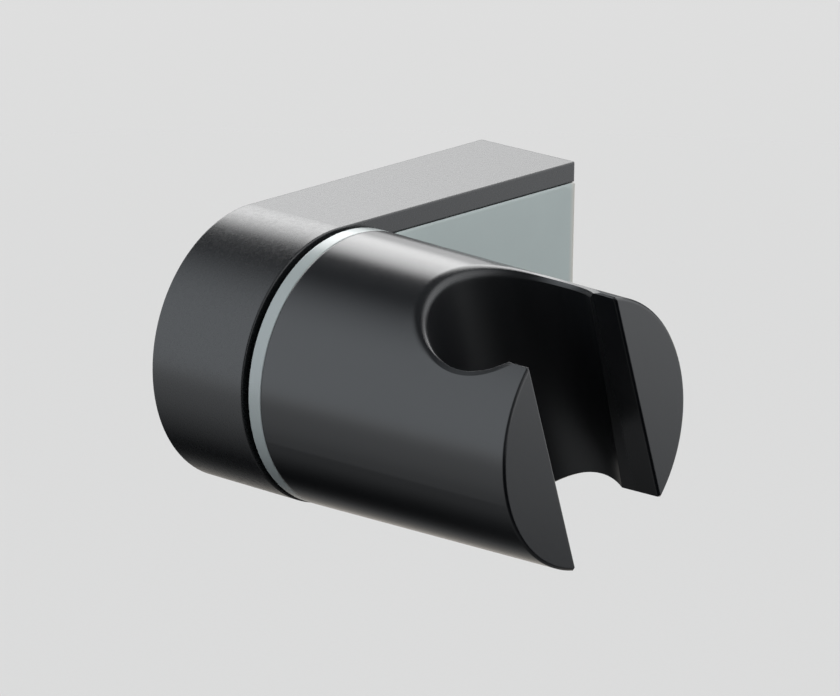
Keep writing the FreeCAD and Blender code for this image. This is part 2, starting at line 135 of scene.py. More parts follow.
def mottled(tree, position, grain_mm, low, high, detail=2.0):
    """Soft noise of a grain size in millimetres, spread between two values."""
    noise = add_node(tree, "ShaderNodeTexNoise", {
        "Vector": position, "Scale": 1 / (grain_mm * MM), "Detail": detail, "Roughness": 0.55})
    return add_node(tree, "ShaderNodeMapRange", {
        "Value": noise, "From Min": NOISE_RANGE[0], "From Max": NOISE_RANGE[1],
        "To Min": low, "To Max": high})


def clouded(tree, position, patch_mm, first, second, detail=2.0):
    """Colour that drifts between two near shades in soft patches of a size in millimetres."""
    patches = mottled(tree, position, patch_mm, 0.0, 1.0, detail)
    return add_node(tree, "ShaderNodeMix", {"Factor": patches, "A": first, "B": second}, data_type="RGBA")


def from_bore_axis(tree, position):
    """Distance from the leaning axis of the bore."""
    pivot = add_node(tree, "ShaderNodeVectorMath", {0: position, 1: BORE_PLACE}, operation="SUBTRACT")
    upright = add_node(tree, "ShaderNodeVectorRotate", {"Vector": pivot, "Angle": -BORE_LEAN},
                       rotation_type="X_AXIS")
    flat = add_node(tree, "ShaderNodeVectorMath", {0: upright, 1: (1.0, 1.0, 0.0)}, operation="MULTIPLY")
    return add_node(tree, "ShaderNodeVectorMath", {0: flat}, operation="LENGTH")


# Finishes

def moulded_plastic(tree, position, colour, roughness, grain_mm, grain_depth_mm, edge):
    """Injection moulding: the grain of its tool breaks its sheen, and its edges round off a little."""
    # The real grain is about 0.05 mm. It is drawn at 0.25 to 0.4 mm, the finest that the picture shows.
    grain = add_node(tree, "ShaderNodeTexNoise", {
        "Vector": position, "Scale": 1 / (grain_mm * MM), "Detail": 2.0})
    rounded = add_node(tree, "ShaderNodeBevel", {"Radius": edge}, samples=8)
    bump = add_node(tree, "ShaderNodeBump", {
        "Height": grain, "Strength": 1.0, "Distance": grain_depth_mm * MM, "Normal": rounded})
    shader = add_node(tree, "ShaderNodeBsdfPrincipled", {
        "Base Color": colour, "Roughness": roughness, "IOR": ABS_IOR, "Normal": bump})
    add_node(tree, "ShaderNodeOutputMaterial", {"Surface": shader})


# Near black, with a soft grain that frays the edge of each reflection
def black_abs_spark_eroded(finish):
    """ABS from a spark-eroded tool."""
    material, tree, position = new_material("black_abs_spark_eroded")
    colour = clouded(tree, position, 9.0, (*finish.black, 1.0), to_linear(BLACK_CLOUD), detail=3.0)
    dull = finish.cover_roughness
    sheen = mottled(tree, position, 0.7, dull - 0.04, dull + 0.04, detail=4.0)
    moulded_plastic(tree, position, colour, sheen, grain_mm=0.28, grain_depth_mm=0.0022, edge=0.25 * MM)
    return material


# Near black and smoother than the cover, dull in the bore, rolled at the mouth and crisp at the lips
def black_abs_satin(finish):
    """ABS from a brushed tool."""
    material, tree, position = new_material("black_abs_satin")
    colour = clouded(tree, position, 9.0, (*finish.black, 1.0), to_linear(BLACK_CLOUD), detail=3.0)
    reach = from_bore_axis(tree, position)
    dull = finish.cradle_roughness
    outside = mottled(tree, position, 0.7, dull - 0.02, dull + 0.02, detail=4.0)
    in_bore = add_node(tree, "ShaderNodeMapRange", {
        "Value": reach, "From Min": 12.0 * MM, "From Max": 11.4 * MM}, interpolation_type="SMOOTHSTEP")
    sheen = add_node(tree, "ShaderNodeMix", {"Factor": in_bore, "A": outside, "B": finish.bore_roughness})
    # The mouth is rolled on the side of the body, and its lips are crisp towards the slot.
    across = add_node(tree, "ShaderNodeSeparateXYZ", {0: position}).outputs["X"]
    rolled = add_node(tree, "ShaderNodeMapRange", {
        "Value": across, "From Min": 43.0 * MM, "From Max": 37.0 * MM,
        "To Min": 0.04 * MM, "To Max": 1.2 * MM}, interpolation_type="SMOOTHSTEP")
    at_mouth = add_node(tree, "ShaderNodeMapRange", {
        "Value": reach, "From Min": 14.2 * MM, "From Max": 13.2 * MM}, interpolation_type="SMOOTHSTEP")
    edge = add_node(tree, "ShaderNodeMix", {"Factor": at_mouth, "A": 0.3 * MM, "B": rolled})
    moulded_plastic(tree, position, colour, sheen, grain_mm=0.28, grain_depth_mm=0.003, edge=edge)
    return material


# Even grey with a soft sheen, with painted shade in the crevice along the cover, and a painted warm
# reflection where it rolls off at the wall
def grey_abs_satin_panel(finish):
    """Lacquered ABS of the flat panel."""
    material, tree, position = new_material("grey_abs_satin_panel")
    depth = add_node(tree, "ShaderNodeSeparateXYZ", {0: position}).outputs["Y"]
    colour = clouded(tree, position, 12.0, (*finish.grey, 1.0), to_linear(PANEL_CLOUD))
    # Painted reflection: over the last millimetre towards the wall the grey turns warmer and lighter, as if
    # its rounded back edge mirrored the warm backdrop.
    at_wall = add_node(tree, "ShaderNodeMapRange", {
        "Value": depth, "From Min": -1.3 * MM, "From Max": -0.2 * MM}, interpolation_type="SMOOTHSTEP")
    colour = add_node(tree, "ShaderNodeMix", {"Factor": at_wall, "A": colour, "B": to_linear(PANEL_EDGE_REFLECTION)},
                      data_type="RGBA")
    # Painted shade: where nearby parts close over the panel within a third of a millimetre, as in the crevice
    # along the cover, its colour goes near black.
    crevice = add_node(tree, "ShaderNodeAmbientOcclusion", {"Distance": 0.35 * MM}, samples=8).outputs["AO"]
    open_face = add_node(tree, "ShaderNodeMapRange", {"Value": crevice, "From Min": 0.35, "From Max": 0.75},
                         interpolation_type="SMOOTHSTEP")
    colour = add_node(tree, "ShaderNodeMix", {"Factor": open_face, "A": to_linear(CREVICE_SHADE), "B": colour},
                      data_type="RGBA")
    dull = finish.grey_roughness
    sheen = mottled(tree, position, 0.75, dull - 0.01, dull + 0.01, detail=4.0)
    edge = add_node(tree, "ShaderNodeMapRange", {
        "Value": depth, "From Min": -2.4 * MM, "From Max": -1.4 * MM,
        "To Min": 0.15 * MM, "To Max": 1.3 * MM}, interpolation_type="SMOOTHSTEP")
    moulded_plastic(tree, position, colour, sheen, grain_mm=0.3, grain_depth_mm=0.001, edge=edge)
    return material


# A touch lighter than the panel, with fine rolled edges that catch thin lines of light
def grey_abs_satin_collar(finish):
    """The same lacquer on the turned rim."""
    material, tree, position = new_material("grey_abs_satin_collar")
    colour = clouded(tree, position, 12.0, (*finish.collar_grey, 1.0), to_linear(COLLAR_CLOUD))
    dull = finish.collar_roughness
    sheen = mottled(tree, position, 0.75, dull - 0.01, dull + 0.01, detail=4.0)
    moulded_plastic(tree, position, colour, sheen, grain_mm=0.3, grain_depth_mm=0.001, edge=0.25 * MM)
    return material


# Dark grey and dull, with a coarse even grain
def dark_abs_as_moulded():
    """ABS straight from the tool."""
    material, tree, position = new_material("dark_abs_as_moulded")
    colour = clouded(tree, position, 6.0, to_linear(PLATE_GREY), to_linear(PLATE_CLOUD))
    sheen = mottled(tree, position, 1.0, 0.45, 0.56)
    moulded_plastic(tree, position, colour, sheen, grain_mm=0.4, grain_depth_mm=0.02, edge=0.15 * MM)
    return material


# Black and matt, faintly dusty from its talc
def black_rubber_die_cut():
    """Rubber sheet, die-cut."""
    material, tree, position = new_material("black_rubber_die_cut")
    colour = clouded(tree, position, 2.5, to_linear(RUBBER_BLACK), to_linear(RUBBER_DUST), detail=4.0)
    sheen = mottled(tree, position, 0.6, 0.7, 0.82)
    moulded_plastic(tree, position, colour, sheen, grain_mm=0.25, grain_depth_mm=0.02, edge=0.1 * MM)
    return material


def worked_metal(name, colour, tarnish, roughness, line_mm, line_stretch):
    """Metal with tool marks spaced in millimetres, drawn out along each axis by its stretch."""
    material, tree, position = new_material(name)
    # Real tool marks are about 0.05 mm apart. They are drawn at 0.12 to 0.2 mm, so that they show close up.
    scale = [1 / (line_mm * MM * stretch) for stretch in line_stretch]
    stretched = add_node(tree, "ShaderNodeMapping", {"Vector": position, "Scale": scale})
    marks = add_node(tree, "ShaderNodeTexNoise", {"Vector": stretched, "Scale": 1.0, "Detail": 3.0})
    sheen = add_node(tree, "ShaderNodeMapRange", {
        "Value": marks, "From Min": NOISE_RANGE[0], "From Max": NOISE_RANGE[1],
        "To Min": roughness - 0.08, "To Max": roughness + 0.1})
    shade = clouded(tree, position, 1.5, to_linear(colour), to_linear(tarnish), detail=3.0)
    bump = add_node(tree, "ShaderNodeBump", {"Height": marks, "Strength": 1.0, "Distance": 0.004 * MM})
    shader = add_node(tree, "ShaderNodeBsdfPrincipled", {
        "Base Color": shade, "Metallic": 1.0, "Roughness": sheen, "Normal": bump})
    add_node(tree, "ShaderNodeOutputMaterial", {"Surface": shader})
    return material


def rings_round(axis):
    """Stretch of the tool marks on a piece turned about an axis."""
    return [1.0 if name == axis else RING_STRETCH for name in "XYZ"]


# Cool grey, with fine rings that stretch its highlights
def turned_steel(axis):
    """Stainless steel from the lathe."""
    return worked_metal("stainless_steel_turned_" + axis, "#c4c3c0", "#b2b1ae", 0.3,
                        line_mm=0.12, line_stretch=rings_round(axis))


# Warm yellow, with fine rings and a slight brown tarnish
def turned_brass(axis):
    """Brass from the lathe."""
    return worked_metal("brass_turned_" + axis, "#c9a45c", "#b48f4d", 0.28,
                        line_mm=0.12, line_stretch=rings_round(axis))


# Dull and even, with no direction in its sheen
def stamped_steel():
    """Stainless sheet, stamped and tumbled."""
    return worked_metal("stainless_steel_stamped", "#bdbcb9", "#adaca9", 0.38,
                        line_mm=0.2, line_stretch=(1.0, 1.0, 1.0))


def give(names, material):
    """Put one material on CAD nodes."""
    for name in names:
        mesh = NODES[name].data
        mesh.materials.clear()
        mesh.materials.append(material)


# Modelling: small pieces are built along Z in millimetres, with their head's seat or their outer end at 0

# Flare at the mouth of a hexagon socket: how tall it is in millimetres, and how much wider it gets
FLARE_HEIGHT = 0.55
FLARE_SHARE = 1.22

# Share of its width to which a cross recess narrows at its foot
CROSS_TAPER = 0.6

# Share of its width to which the tip of a thread is drawn in
TIP_TAPER = 0.86


def deselect_all():
    if bpy.context.object and bpy.context.object.mode != "OBJECT":
        bpy.ops.object.mode_set(mode="OBJECT")
    bpy.ops.object.select_all(action="DESELECT")


def pick_vertices(piece, wanted):
    """Select the vertices that pass a test, and nothing else, and stay in edit mode."""
    bpy.ops.object.mode_set(mode="EDIT")
    bpy.ops.mesh.select_mode(type="VERT")
    bpy.ops.mesh.select_all(action="DESELECT")
    bpy.ops.object.mode_set(mode="OBJECT")
    for vertex in piece.data.vertices:
        vertex.select = wanted(vertex.co)
    bpy.ops.object.mode_set(mode="EDIT")


def drawn_outline(name, points):
    """Outline beside the Z axis, drawn by extruding a vertex from point to point: radius and height."""
    places = [Vector((radius, 0.0, height)) * MM for radius, height in points]
    deselect_all()
    bpy.ops.mesh.primitive_plane_add(size=MM)
    bpy.context.object.name = name
    bpy.ops.object.mode_set(mode="EDIT")
    bpy.ops.mesh.select_mode(type="VERT")
    bpy.ops.mesh.select_all(action="SELECT")
    bpy.ops.mesh.merge(type="CENTER")
    bpy.ops.transform.translate(value=places[0])
    for here, there in zip(places, places[1:]):
        bpy.ops.mesh.extrude_vertices_move(TRANSFORM_OT_translate={"value": there - here})
    return bpy.context.object


def close_up():
    """Merge the doubles of the piece in edit mode and turn its faces outwards."""
    bpy.ops.mesh.select_all(action="SELECT")
    bpy.ops.mesh.remove_doubles(threshold=0.001 * MM)
    bpy.ops.mesh.normals_make_consistent(inside=False)
    bpy.ops.object.mode_set(mode="OBJECT")


def turned_piece(name, points, columns):
    """Solid turned about the Z axis from its outline."""
    piece = drawn_outline(name, points)
    bpy.ops.mesh.select_all(action="SELECT")
    bpy.ops.mesh.spin(steps=columns, angle=math.tau, center=(0, 0, 0), axis=(0, 0, 1))
    close_up()
    return piece


def threaded_rod(name, crest, pitch, start, end, columns):
    """Solid rod with a 60-degree thread, cut off square at both ends and drawn in a little at its tip."""
    root = crest - 0.5 * pitch
    below = start - 1.5 * pitch
    tooth = ((root, 0.0), (root, 0.12), (crest, 0.45), (crest, 0.57), (root, 0.9), (root, 1.0))
    rod = drawn_outline(name, [(radius, below + share * pitch) for radius, share in tooth])
    bpy.ops.object.mode_set(mode="OBJECT")
    helix = rod.modifiers.new("helix", "SCREW")
    helix.axis = "Z"
    helix.angle = math.tau
    helix.screw_offset = pitch * MM
    helix.iterations = math.ceil((end - start) / pitch) + 3
    helix.steps = columns
    helix.render_steps = columns
    bpy.ops.object.modifier_apply(modifier=helix.name)
    bpy.ops.object.mode_set(mode="EDIT")
    bpy.ops.mesh.select_all(action="SELECT")
    bpy.ops.mesh.remove_doubles(threshold=0.002 * MM)
    for height, outwards in ((start, -1), (end, 1)):
        bpy.ops.mesh.select_all(action="SELECT")
        bpy.ops.mesh.bisect(plane_co=(0, 0, height * MM), plane_no=(0, 0, outwards), use_fill=True,
                            clear_outer=True, threshold=1e-7)
    close_up()
    pick_vertices(rod, lambda place: place.z > (end - 0.35 * pitch) * MM)
    bpy.ops.transform.resize(value=(TIP_TAPER, TIP_TAPER, 1.0), center_override=(0, 0, end * MM))
    bpy.ops.object.mode_set(mode="OBJECT")
    return rod


def hexagon_key(across_flats, start, end):
    """Hexagon, flared at its outer end, that cuts a socket with a lead-in."""
    deselect_all()
    corner = across_flats / 2 / math.cos(math.pi / 6) * MM
    bpy.ops.mesh.primitive_cylinder_add(vertices=6, radius=corner, depth=(end - start) * MM,
                                        location=(0, 0, (start + end) / 2 * MM))
    key = bpy.context.object
    bpy.ops.object.transform_apply(location=True, rotation=False, scale=False)
    pick_vertices(key, lambda place: place.z < (start + end) / 2 * MM)
    bpy.ops.transform.translate(value=(0, 0, FLARE_HEIGHT * MM))
    bpy.ops.mesh.extrude_region_move(TRANSFORM_OT_translate={"value": (0, 0, -FLARE_HEIGHT * MM)})
    bpy.ops.transform.resize(value=(FLARE_SHARE, FLARE_SHARE, 1.0), center_override=(0, 0, 0))
    close_up()
    return key


def cross_key(length, width, start, end):
    """Two crossed wedges that narrow towards their end, to cut a cross recess."""
    blades = []
    for turn in (0.0, math.pi / 2):
        deselect_all()
        bpy.ops.mesh.primitive_cube_add(size=1.0, location=(0, 0, (start + end) / 2 * MM),
                                        rotation=(0, 0, turn),
                                        scale=(length * MM, width * MM, (end - start) * MM))
        blade = bpy.context.object
        bpy.ops.object.transform_apply(location=True, rotation=True, scale=True)
        pick_vertices(blade, lambda place: place.z > (start + end) / 2 * MM)
        bpy.ops.transform.resize(value=(CROSS_TAPER, CROSS_TAPER, 1.0), center_override=(0, 0, end * MM))
        bpy.ops.object.mode_set(mode="OBJECT")
        blades.append(blade)
    combine(blades[0], "UNION", blades[1])
    return blades[0]


def combine(piece, operation, tool):
    """Join a tool to a piece, or cut it out, and use the tool up."""
    deselect_all()
    piece.select_set(True)
    bpy.context.view_layer.objects.active = piece
    step = piece.modifiers.new(operation.lower(), "BOOLEAN")
    step.operation = operation
    step.solver = "EXACT"
    step.object = tool
    bpy.ops.object.modifier_apply(modifier=step.name)
    bpy.data.objects.remove(tool)


def knurl(piece, inside, columns, depth_share):
    """Press straight teeth into the widest bands of a turned piece: every second column is drawn in."""
    def tooth_gap(place):
        column = round(math.atan2(place.y, place.x) / (math.tau / columns)) % 2
        return math.hypot(place.x, place.y) > inside * MM and column == 1
    pick_vertices(piece, tooth_gap)
    bpy.ops.transform.resize(value=(1 - depth_share, 1 - depth_share, 1.0), center_override=(0, 0, 0))
    bpy.ops.object.mode_set(mode="OBJECT")


def in_hundredths(length):
    """Length in millimetres to the hundredth: facets leave a round node's middle a few thousandths off."""
    return round(length / MM, 2)


def node_length(node, axis):
    """Length of a CAD node along an axis, in millimetres."""
    low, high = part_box(node)
    return in_hundredths(high[axis] - low[axis])


def node_end(node, axis, inset=0.0, far=False):
    """Middle of a CAD node's low end along an axis, or of its far end, moved in by some millimetres."""
    low, high = (Vector(corner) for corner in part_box(node))
    place = (low + high) / 2
    place[axis] = high[axis] - inset * MM if far else low[axis] + inset * MM
    return Vector([in_hundredths(value) for value in place]) * MM


# Turns that lay a piece built along Z on another axis
ALONG_X = (0.0, math.pi / 2, 0.0)
AGAINST_Y = (math.pi / 2, 0.0, 0.0)
ALONG_Z = (0.0, 0.0, 0.0)


def set_in_place(piece, place, turn, material, node, body):
    """Turn and move a finished piece to its place, finish it, and let it stand for its CAD node."""
    deselect_all()
    piece.select_set(True)
    bpy.context.view_layer.objects.active = piece
    piece.rotation_euler = turn
    piece.location = place
    bpy.ops.object.transform_apply(location=True, rotation=True, scale=True)
    bpy.ops.object.shade_smooth_by_angle(angle=math.radians(35))
    piece.data.materials.clear()
    piece.data.materials.append(material)
    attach(piece, body)
    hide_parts(node)


# Sizes and colours that a user would change

def colour_property(name, description, default):
    return bpy.props.FloatVectorProperty(name=name, description=description, default=to_linear(default)[:3],
                                         size=3, subtype="COLOR", min=0.0, max=1.0)


def roughness_property(name, description, default):
    return bpy.props.FloatProperty(name=name, description=description, default=default, min=0.05, max=0.9,
                                   subtype="FACTOR")


def pitch_property(name, description, default):
    return bpy.props.FloatProperty(name=name, description=description, default=default,
                                   min=0.4 * MM, max=1.2 * MM, unit="LENGTH", precision=5)


def brightness_property(name, description, default):
    return bpy.props.FloatProperty(name=name, description=description, default=default, min=0.0)


class HolderFinish(bpy.types.PropertyGroup):
    black: colour_property("Black", "Colour of the black mouldings", "#0f1012")
    grey: colour_property("Grey", "Colour of the side panel", "#9ca6a4")
    collar_grey: colour_property("Collar grey", "Colour of the collar", "#a7adac")
    cover_roughness: roughness_property("Cover roughness", "Roughness of the body cover", 0.27)
    cradle_roughness: roughness_property("Cradle roughness", "Roughness of the cradle", 0.19)
    bore_roughness: roughness_property("Bore roughness", "Roughness inside the bore of the cradle", 0.36)
    grey_roughness: roughness_property("Grey roughness", "Roughness of the side panel", 0.26)
    collar_roughness: roughness_property("Collar roughness", "Roughness of the collar", 0.22)


class HolderHardware(bpy.types.PropertyGroup):
    bolt_pitch: pitch_property("Bolt pitch", "Thread pitch of the pivot bolt", 0.8 * MM)
    set_screw_pitch: pitch_property("Set screw pitch", "Thread pitch of the set screw", 0.7 * MM)
    panel_screw_pitch: pitch_property("Panel screw pitch", "Thread pitch of the panel screws", 0.9 * MM)
    knurl_teeth: bpy.props.IntProperty(name="Knurl teeth", description="Teeth round each thread insert",
                                       default=36, min=12, max=60)


class HolderStudio(bpy.types.PropertyGroup):
    background: colour_property("Background", "Colour of the backdrop and floor", "#dfdfdf")
    floor_drop: bpy.props.FloatProperty(name="Floor drop", default=0.12, min=0.03, unit="LENGTH",
                                        description="Height of the swivel axis above the floor")
    back_light: brightness_property("Back light", "Brightness of the strip light behind the holder", 4.6)
    front_light: brightness_property("Front light", "Brightness of the wide light in front", 1.74)
    side_light: brightness_property("Side light", "Brightness of the light on the panel side", 2.0)
    ambient: brightness_property("Ambient", "Brightness of the rest of the room", 0.17)


# Pieces

class HOLDER_OT_black_mouldings(bpy.types.Operator):
    """Finish the cover and the cradle in satin black"""
    bl_idname = "holder.black_mouldings"
    bl_label = "Black mouldings"

    def execute(self, context):
        finish = context.scene.holder_finish
        give(("body_cover",), black_abs_spark_eroded(finish))
        give(("cradle",), black_abs_satin(finish))
        return {"FINISHED"}


class HOLDER_OT_grey_mouldings(bpy.types.Operator):
    """Finish the side panel and the collar in satin grey"""
    bl_idname = "holder.grey_mouldings"
    bl_label = "Grey mouldings"

    def execute(self, context):
        finish = context.scene.holder_finish
        give(("side_panel",), grey_abs_satin_panel(finish))
        give(("pivot_collar",), grey_abs_satin_collar(finish))
        return {"FINISHED"}


class HOLDER_OT_inner_pieces(bpy.types.Operator):
    """Finish the wall plate, the friction disc, the washers and the spring"""
    bl_idname = "holder.inner_pieces"
    bl_label = "Inner pieces"

    def execute(self, context):
        give(("wall_plate",), dark_abs_as_moulded())
        give(("friction_disc",), black_rubber_die_cut())
        give(("stop_washer", "disc_spring", "clamp_washer", "lock_washer"), stamped_steel())
        return {"FINISHED"}


class HOLDER_OT_pivot_bolt(bpy.types.Operator):
    """Model the bolt through the swivel: low head with a hexagon socket, plain shank and thread"""
    bl_idname = "holder.pivot_bolt"
    bl_label = "Pivot bolt"

    def execute(self, context):
        pitch = context.scene.holder_hardware.bolt_pitch / MM
        head, head_height = 4.38, 2.6
        shank, shank_end = 2.45, 9.0
        top = -head_height
        bolt = turned_piece("pivot_bolt_threaded", (
            (0.0, top), (head - 0.63, top), (head - 0.13, top + 0.2), (head, top + 0.6), (head, -0.25),
            (head - 0.18, 0.0), (shank, 0.0), (shank, shank_end), (shank - 0.45, shank_end + 0.5),
            (0.0, shank_end + 0.5)), columns=64)
        thread = threaded_rod("bolt_thread", shank - 0.01, pitch, start=shank_end - 0.3,
                              end=node_length("pivot_bolt", X) - head_height, columns=32)
        combine(bolt, "UNION", thread)
        combine(bolt, "DIFFERENCE", hexagon_key(across_flats=3.0, start=top - 0.4, end=top + 1.6))
        set_in_place(bolt, node_end("pivot_bolt", X, head_height), ALONG_X, turned_steel("X"),
                     "pivot_bolt", "cradle")
        return {"FINISHED"}


class HOLDER_OT_set_screw(bpy.types.Operator):
    """Model the set screw in the bottom of the cover: thread, flat point and hexagon socket"""
    bl_idname = "holder.set_screw"
    bl_label = "Set screw"

    def execute(self, context):
        pitch = context.scene.holder_hardware.set_screw_pitch / MM
        tip = node_length("set_screw", Z)
        crest, core, point = 1.94, 1.7, 1.2
        screw = turned_piece("set_screw_threaded", (
            (0.0, tip - 1.5), (core - 0.12, tip - 1.5), (core, tip - 0.6), (point, tip), (0.0, tip)),
            columns=32)
        thread = threaded_rod("set_screw_thread", crest, pitch, start=0.0, end=tip - 0.7, columns=32)
        combine(screw, "UNION", thread)
        combine(screw, "DIFFERENCE", hexagon_key(across_flats=2.0, start=-0.3, end=2.2))
        set_in_place(screw, node_end("set_screw", Z), ALONG_Z, turned_steel("Z"),
                     "set_screw", "body")
        return {"FINISHED"}


class HOLDER_OT_panel_screws(bpy.types.Operator):
    """Model one panel screw, with a pan head, a cross recess and a thread, and copy it for the other lug"""
    bl_idname = "holder.panel_screws"
    bl_label = "Panel screws"

    def execute(self, context):
        pitch = context.scene.holder_hardware.panel_screw_pitch / MM
        head, head_height, shank = 2.58, 1.6, 1.05
        top = -head_height
        first = turned_piece("panel_screw_upper_threaded", (
            (0.0, top), (head - 1.28, top + 0.02), (head - 0.58, top + 0.18), (head - 0.18, top + 0.5),
            (head, top + 0.95), (head, -0.12), (head - 0.1, 0.0), (shank, 0.0), (shank, 0.8),
            (shank - 0.2, 1.0), (0.0, 1.0)), columns=48)
        thread = threaded_rod("panel_screw_thread", shank + 0.04, pitch, start=0.7,
                              end=node_length("panel_screw_upper", Y) - head_height, columns=24)
        combine(first, "UNION", thread)
        combine(first, "DIFFERENCE", cross_key(length=2.8, width=0.62, start=top - 0.4, end=top + 0.9))
        second = first.copy()
        second.data = first.data.copy()
        second.name = "panel_screw_lower_threaded"
        context.collection.objects.link(second)
        steel = turned_steel("Y")
        for screw, node in ((first, "panel_screw_upper"), (second, "panel_screw_lower")):
            set_in_place(screw, node_end(node, Y, head_height, far=True), AGAINST_Y, steel,
                         node, "body")
        return {"FINISHED"}


class HOLDER_OT_thread_inserts(bpy.types.Operator):
    """Model the two brass thread inserts with their knurled bands"""
    bl_idname = "holder.thread_inserts"
    bl_label = "Thread inserts"

    def execute(self, context):
        columns = 2 * context.scene.holder_hardware.knurl_teeth
        bore, groove, band = 2.5, 2.95, 3.25
        end = node_length("bolt_insert", X)
        long_insert = turned_piece("bolt_insert_knurled", (
            (bore, 0.0), (groove, 0.0), (band, 0.35), (band, 3.5), (groove, 3.85), (groove, 4.9),
            (band, 5.25), (band, end - 0.7), (groove, end - 0.4), (groove, end), (bore, end),
            (bore, 0.0)), columns)
        knurl(long_insert, band - 0.05, columns, depth_share=0.055)
        set_in_place(long_insert, node_end("bolt_insert", X), ALONG_X, turned_brass("X"),
                     "bolt_insert", "cradle")
        bore, groove, band = 2.0, 2.52, 2.75
        end = node_length("set_screw_insert", Z)
        short_insert = turned_piece("set_screw_insert_knurled", (
            (bore, 0.0), (groove - 0.02, 0.0), (band, 0.22), (band, 1.0), (groove, 1.15), (groove, 1.45),
            (band, 1.6), (band, end - 0.3), (groove + 0.03, end), (bore, end), (bore, 0.0)), columns)
        knurl(short_insert, band - 0.05, columns, depth_share=0.05)
        set_in_place(short_insert, node_end("set_screw_insert", Z), ALONG_Z, turned_brass("Z"),
                     "set_screw_insert", "body")
        return {"FINISHED"}


class HOLDER_OT_stage(bpy.types.Operator):
    """Set up the floor, the light of the room and the camera"""
    bl_idname = "holder.stage"
    bl_label = "Stage"

    def execute(self, context):
        studio = context.scene.holder_studio
        make_floor(studio)
        make_room_light(context.scene, studio)
        make_camera(context.scene)
        context.scene.view_settings.view_transform = "Standard"
        return {"FINISHED"}


# Studio

# Round paper floor: its radius, the distances between which its rim melts into the backdrop, and its colours
FLOOR_RADIUS = 0.9
FLOOR_RIM = (0.4, 0.85)
PAPER = "#c6c5c3"
# Paper as the bounced light sees it: near black, a painted shade that keeps the holder's underside dark
PAPER_BOUNCE = "#121212"
PAPER_OWN_LIGHT = 0.6

# Brightness that gloss sees on the floor, by distance in metres from a point under the holder: its dark
# middle is a painted shadow of the holder
FLOOR_GLOW = (
    (0.0, 0.0), (0.02, 0.04), (0.034, 0.11), (0.051, 0.25), (0.081, 0.47), (0.1, 0.62), (0.119, 0.78),
    (0.15, 0.94), (0.18, 1.03), (0.25, 1.18), (0.32, 1.5), (0.4, 1.9), (0.5, 2.15), (1.0, 2.2))
FLOOR_GLOW_TOP = 2.2
GLOW_CENTRE = Vector((-0.09, -0.056, 0.0))
GLOW_SCALE = Vector((0.3, 1.0, 0.0))
GLOW_COOL, GLOW_WARM = "#dde0e3", "#e0dbd4"

# Places in metres between which the glow changes: across to the left, back to the open side, and back to
# the warm part
LEFT_SIDE = (0.15, 0.05)
OPEN_SIDE = (0.02, 0.3)
OPEN_SIDE_GLOW = 0.84
WARM_SIDE = (-0.02, 0.03)

# Lights of the room: direction from the holder, then the angles in degrees where the light ends and is full
STRIP_LIGHT = ((0.0, 0.572, 0.519), 24.95, 0.0)
STRIP_END = (0.3, -0.1)
LOW_BACK_LIGHT = ((-0.635, 0.746, 0.200), 13.2, 2.0)
LOW_BACK_SHARE = 0.26
FRONT_LIGHT = ((-0.635, -0.737, 0.233), 57.2, 0.0)
SIDE_LIGHT = ((0.85, 0.49, 0.2), 68.8, 10.0)
COOL, PALE, NEUTRAL = Vector((0.93, 0.985, 1.04)), Vector((0.985, 1.0, 1.02)), Vector((1.0, 1.0, 1.0))

# Camera: its angles in degrees, its distance, how far the right back edge of the cover stands to the right
# of the picture's middle and above it, and its focal length and picture width in pixels
CAMERA_TURN, CAMERA_RISE, CAMERA_ROLL = 41.48, 16.58, 0.89
CAMERA_DISTANCE = 0.9
EDGE_FROM_MIDDLE = (22.44 * MM, 8.08 * MM)
FOCAL_PIXELS, PICTURE_PIXELS = 6075.0, 840.0
SENSOR_WIDTH = 36.0


def floor_glow(tree, position):
    """Paper floor as the gloss sees it, drawn as a glow: a painted shadow below the holder and towards the
    camera, and a painted warm light behind on the left.
    """
    centred = add_node(tree, "ShaderNodeMapping", {
        "Vector": position, "Location": -GLOW_CENTRE * GLOW_SCALE, "Scale": GLOW_SCALE})
    distance = add_node(tree, "ShaderNodeVectorMath", {0: centred}, operation="LENGTH")
    ramp = add_node(tree, "ShaderNodeFloatCurve", {"Value": distance})
    curve = ramp.mapping.curves[0]
    for reach, strength in FLOOR_GLOW[1:-1]:
        curve.points.new(reach, strength)
    for point, (reach, strength) in zip(curve.points, FLOOR_GLOW):
        point.location = (reach, strength / FLOOR_GLOW_TOP)
        point.handle_type = "VECTOR"
    ramp.mapping.update()
    place = add_node(tree, "ShaderNodeSeparateXYZ", {0: position}).outputs
    left = add_node(tree, "ShaderNodeMapRange", {
        "Value": place["X"], "From Min": LEFT_SIDE[0], "From Max": LEFT_SIDE[1]},
        interpolation_type="SMOOTHSTEP")
    behind = add_node(tree, "ShaderNodeMapRange", {
        "Value": place["Y"], "From Min": OPEN_SIDE[0], "From Max": OPEN_SIDE[1], "To Max": OPEN_SIDE_GLOW},
        interpolation_type="SMOOTHSTEP")
    warm_behind = add_node(tree, "ShaderNodeMapRange", {
        "Value": place["Y"], "From Min": WARM_SIDE[0], "From Max": WARM_SIDE[1]},
        interpolation_type="SMOOTHSTEP")
    open_side = add_node(tree, "ShaderNodeMath", {0: left, 1: behind}, operation="MAXIMUM")
    warm = add_node(tree, "ShaderNodeMath", {0: left, 1: warm_behind}, operation="MULTIPLY")
    bright = add_node(tree, "ShaderNodeMath", {0: ramp, 1: FLOOR_GLOW_TOP}, operation="MULTIPLY")
    strength = add_node(tree, "ShaderNodeMath", {0: bright, 1: open_side}, operation="MULTIPLY")
    tint = add_node(tree, "ShaderNodeMix", {
        "Factor": warm, "A": to_linear(GLOW_COOL), "B": to_linear(GLOW_WARM)}, data_type="RGBA")
    return add_node(tree, "ShaderNodeEmission", {"Color": tint, "Strength": strength})


